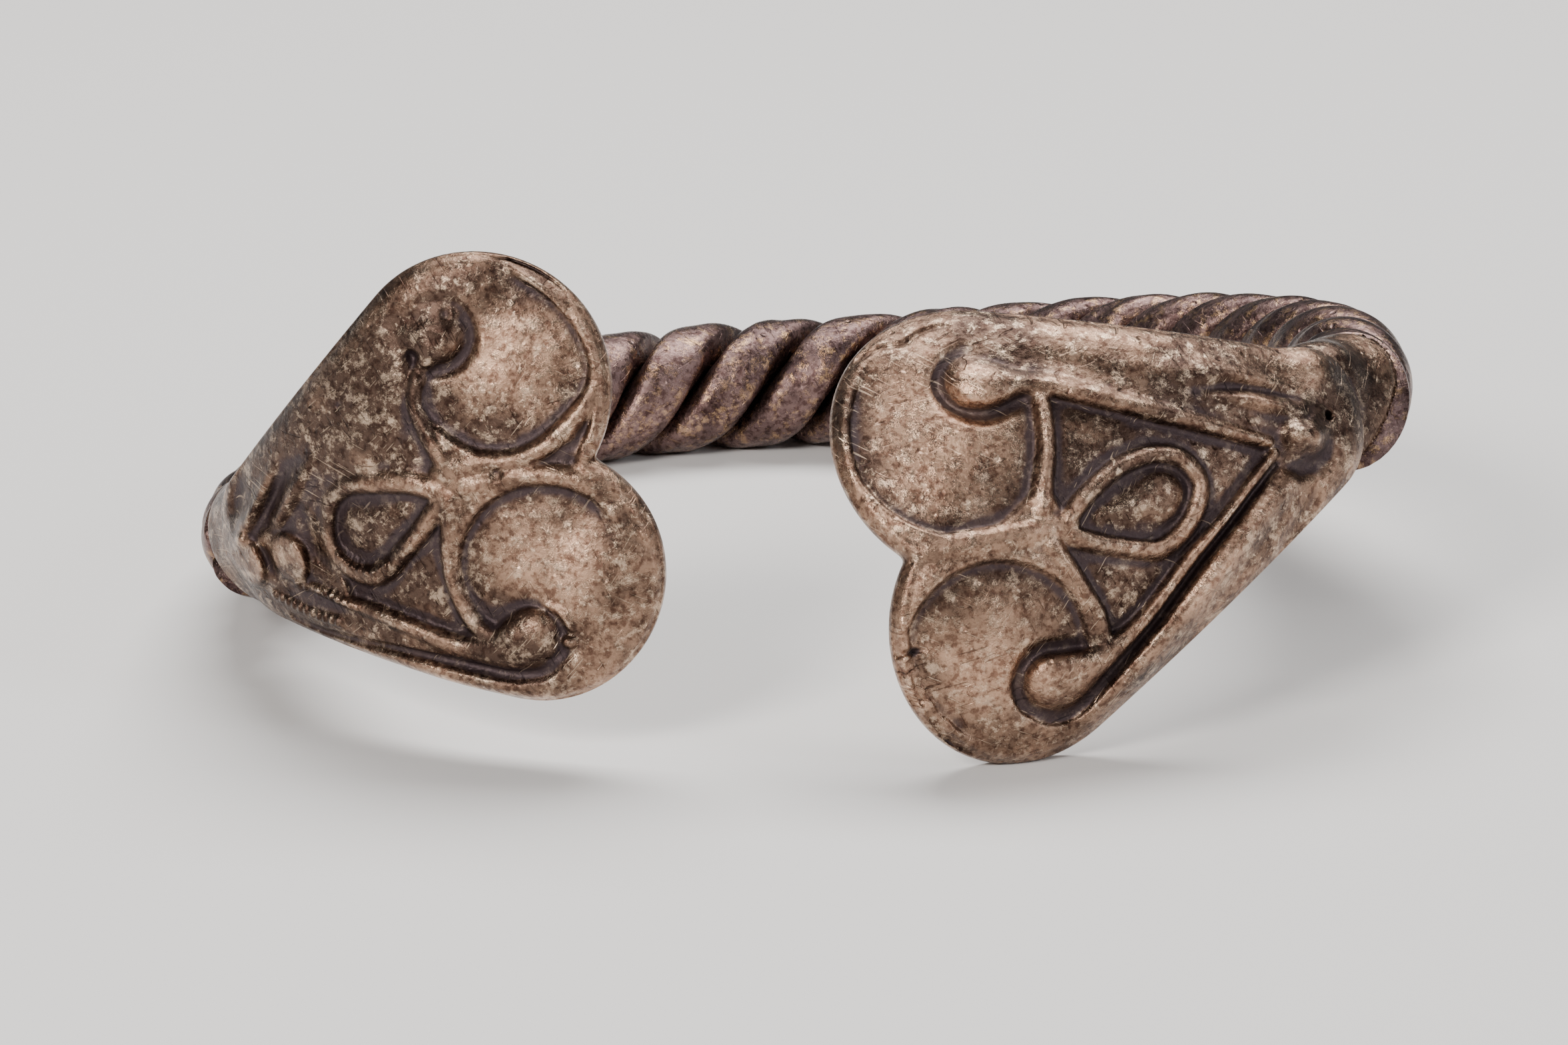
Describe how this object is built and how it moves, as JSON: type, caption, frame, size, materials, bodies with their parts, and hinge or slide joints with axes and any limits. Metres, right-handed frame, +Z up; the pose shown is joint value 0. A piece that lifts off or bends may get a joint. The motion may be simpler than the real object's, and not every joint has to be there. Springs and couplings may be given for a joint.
{
  "type": "viking bracelet",
  "caption": "Open arm ring of twisted rods with a heart-shaped cast plate at each end, worn round the wrist.",
  "frame": {"origin": "under the middle of the ring's bounding box, on the surface it lies on", "axes": "+Z up, +X to the right of someone who faces the hearts, -Y out through the opening between the hearts"},
  "size_m": [0.0918, 0.0868, 0.0366],
  "materials": {
    "twisted_silver": "tarnished silver alloy, dark purple-brown in the grooves, worn bright on the crests",
    "cast_silver": "tarnished and scratched silver alloy with a worn pinkish-gold sheen and a dark patina in the carving"
  },
  "bodies": {
    "root": {"strand_1": "twisted_silver", "strand_2": "twisted_silver", "strand_3": "twisted_silver", "left_heart_terminal": "cast_silver", "right_heart_terminal": "cast_silver"}
  },
  "joints": []
}
